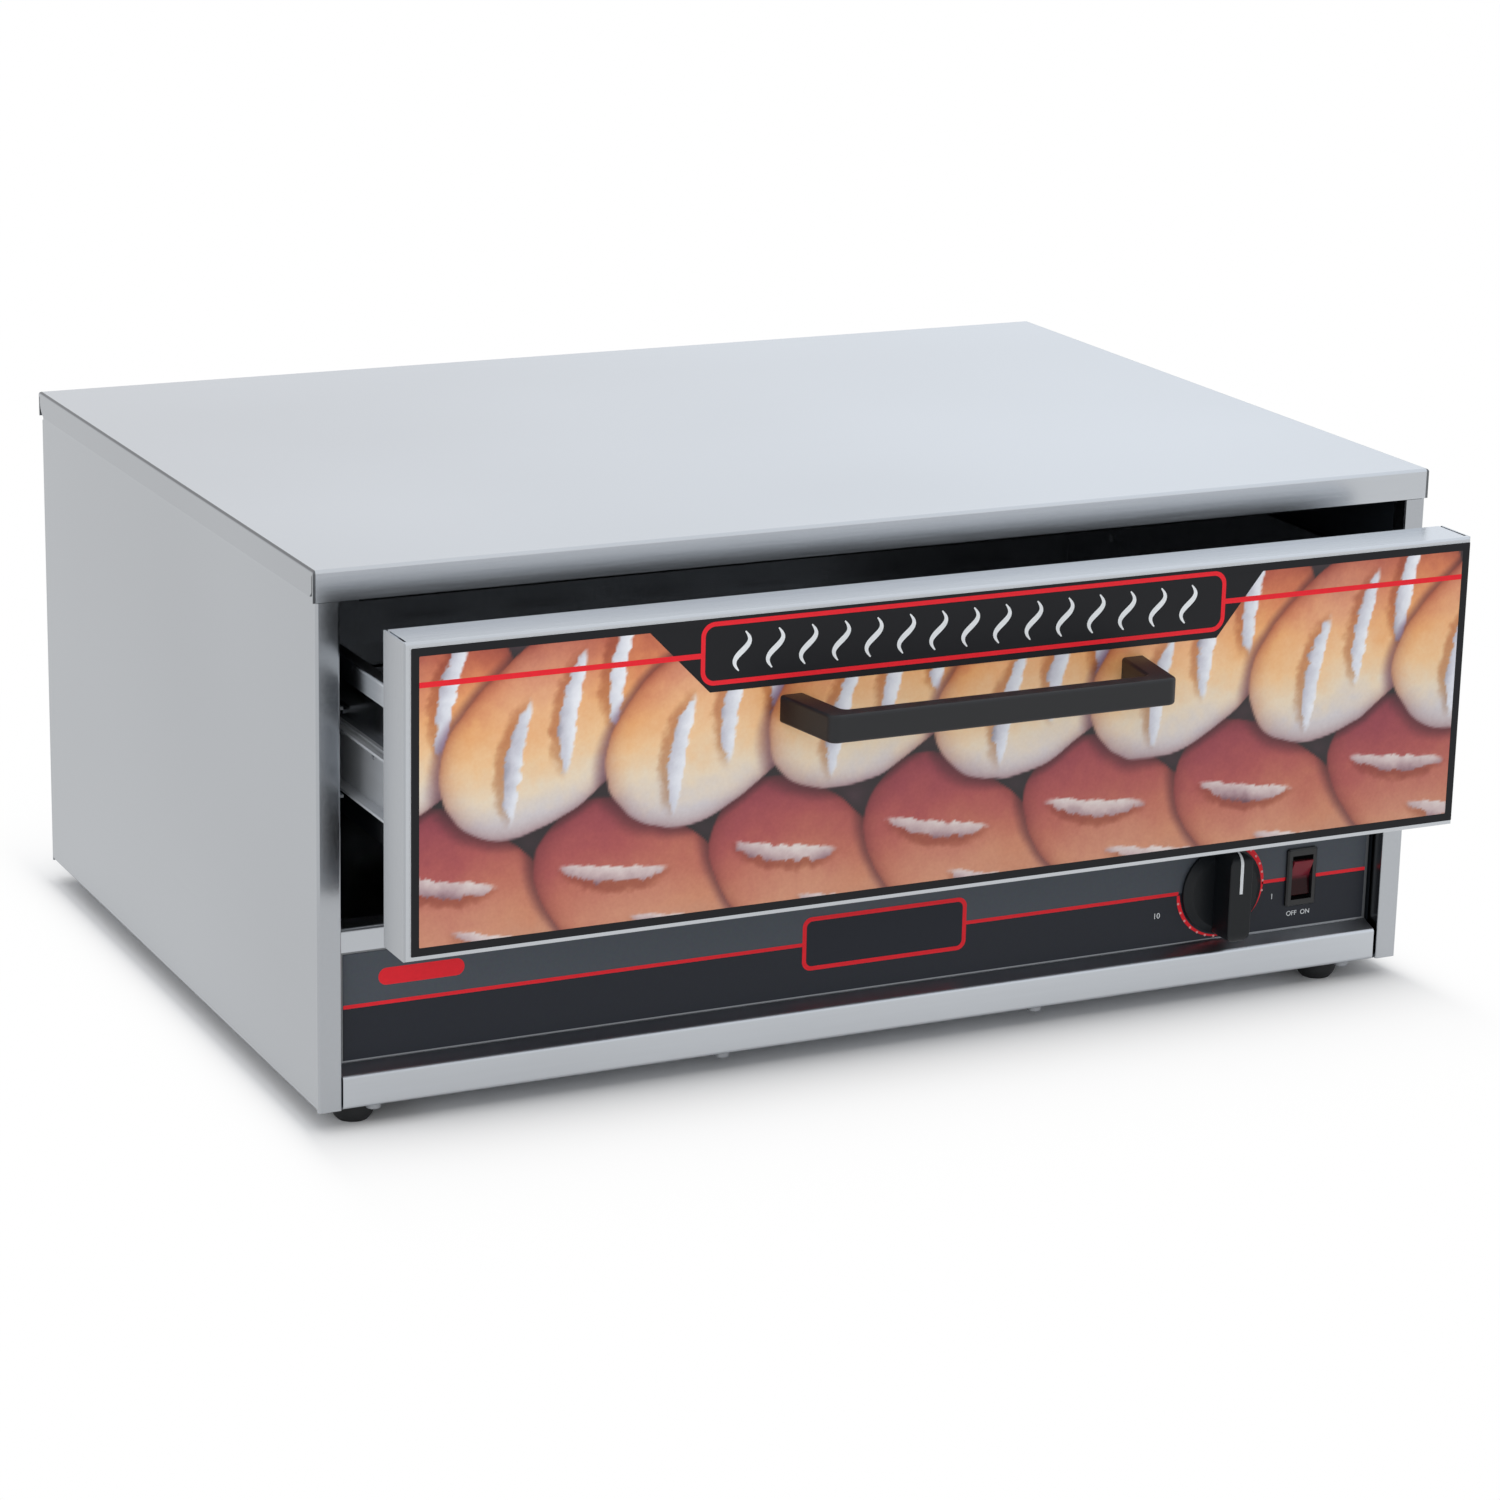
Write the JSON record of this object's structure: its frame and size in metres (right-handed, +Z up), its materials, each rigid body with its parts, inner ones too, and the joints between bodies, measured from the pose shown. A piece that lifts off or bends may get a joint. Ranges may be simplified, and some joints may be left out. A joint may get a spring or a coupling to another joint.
{
  "type": "hot dog bun warmer",
  "caption": "Low stainless countertop bun warmer with one wide heated drawer on telescopic slides, a black bridge handle and a recessed control panel with a knob and a rocker.",
  "frame": {"origin": "centre of the bottom of the whole object's bounding box, on the plane its feet stand on, with the drawer as pictured", "axes": "+X to the right seen from the front, -Y to the front, +Z up"},
  "size_m": [0.61, 0.5364, 0.2764],
  "materials": {
    "stainless_sheet": "brushed",
    "dark_liner": "satin",
    "printed_film": "satin",
    "printed_panel": "satin",
    "black_handle": "matte",
    "knob_plastic": "satin",
    "switch_plastic": "gloss",
    "red_rocker": "gloss",
    "black_rubber": "matte",
    "zinc_steel": "satin",
    "bearing_steel": "polished",
    "screw_steel": "polished",
    "element_sheath": "satin",
    "white_ceramic": "matte",
    "mineral_wool": "matte",
    "copper_tube": "satin",
    "thermostat_case": "matte",
    "wire_cover": "matte"
  },
  "bodies": {
    "cabinet": {"top_cover": "stainless_sheet", "left_side_panel": "stainless_sheet", "right_side_panel": "stainless_sheet", "back_panel": "stainless_sheet", "base_pan": "stainless_sheet", "control_panel": "stainless_sheet", "control_overlay": "printed_film", "feet": "black_rubber", "left_liner": "dark_liner", "right_liner": "dark_liner", "rear_liner": "dark_liner", "heater_deck": "stainless_sheet", "ceiling_pan": "dark_liner", "top_insulation": "mineral_wool", "left_slide_outer": "zinc_steel", "right_slide_outer": "zinc_steel", "cabinet_slide_screws": "screw_steel", "thermostat_body": "thermostat_case", "thermostat_screws": "screw_steel", "thermostat_bulb": "copper_tube", "bulb_clips": "stainless_sheet", "rocker_switch_body": "switch_plastic", "heating_element": "element_sheath", "element_supports": "stainless_sheet", "element_ceramics": "white_ceramic", "element_terminals": "screw_steel", "terminal_block": "white_ceramic", "cord_bushing": "switch_plastic", "wiring": "wire_cover", "back_screws": "screw_steel", "base_screws": "screw_steel", "foot_screws": "screw_steel"},
    "drawer": {"drawer_front_pan": "stainless_sheet", "drawer_front_backing": "stainless_sheet", "picture_panel": "printed_panel", "drawer_handle": "black_handle", "drawer_tub": "stainless_sheet", "tub_front_wall": "stainless_sheet", "tub_rear_wall": "stainless_sheet", "left_slide_inner": "zinc_steel", "right_slide_inner": "zinc_steel", "drawer_slide_screws": "screw_steel", "handle_screws": "screw_steel", "tub_screws": "screw_steel"},
    "left_middle_member": {"left_slide_middle": "zinc_steel"},
    "right_middle_member": {"right_slide_middle": "zinc_steel"},
    "left_outer_balls": {"left_outer_cage": "bearing_steel"},
    "right_outer_balls": {"right_outer_cage": "bearing_steel"},
    "left_inner_balls": {"left_inner_cage": "bearing_steel"},
    "right_inner_balls": {"right_inner_cage": "bearing_steel"},
    "thermostat_knob": {"control_knob": "knob_plastic", "thermostat_shaft": "screw_steel"},
    "switch_rocker": {"rocker": "red_rocker"}
  },
  "joints": [
    {"name": "drawer_slide", "type": "slide", "parent": "cabinet", "child": "drawer", "axis": [0, -1, 0], "range_m": [-0.0667, 0.2833]},
    {"name": "left_middle_member_slide", "type": "slide", "parent": "cabinet", "child": "left_middle_member", "axis": [0, -1, 0], "range_m": [-0.0335, 0.1417]},
    {"name": "left_outer_balls_slide", "type": "slide", "parent": "cabinet", "child": "left_outer_balls", "axis": [0, -1, 0], "range_m": [-0.0168, 0.0709]},
    {"name": "left_inner_balls_slide", "type": "slide", "parent": "cabinet", "child": "left_inner_balls", "axis": [0, -1, 0], "range_m": [-0.0501, 0.2126]},
    {"name": "right_middle_member_slide", "type": "slide", "parent": "cabinet", "child": "right_middle_member", "axis": [0, -1, 0], "range_m": [-0.0335, 0.1417]},
    {"name": "right_outer_balls_slide", "type": "slide", "parent": "cabinet", "child": "right_outer_balls", "axis": [0, -1, 0], "range_m": [-0.0168, 0.0709]},
    {"name": "right_inner_balls_slide", "type": "slide", "parent": "cabinet", "child": "right_inner_balls", "axis": [0, -1, 0], "range_m": [-0.0501, 0.2126]},
    {"name": "knob_turn", "type": "hinge", "parent": "cabinet", "child": "thermostat_knob", "pos_m": [0.1983, -0.14925, 0.0591], "axis": [0, 1, 0], "range_deg": [-135, 135]},
    {"name": "rocker_tip", "type": "hinge", "parent": "cabinet", "child": "switch_rocker", "pos_m": [0.2471, -0.14745, 0.06], "axis": [-1, 0, 0], "range_deg": [0, 18]}
  ],
  "couplings": [
    {"joint": "left_middle_member_slide", "follows": "drawer_slide", "ratio": 0.5},
    {"joint": "left_outer_balls_slide", "follows": "drawer_slide", "ratio": 0.25},
    {"joint": "left_inner_balls_slide", "follows": "drawer_slide", "ratio": 0.75},
    {"joint": "right_middle_member_slide", "follows": "drawer_slide", "ratio": 0.5},
    {"joint": "right_outer_balls_slide", "follows": "drawer_slide", "ratio": 0.25},
    {"joint": "right_inner_balls_slide", "follows": "drawer_slide", "ratio": 0.75}
  ]
}
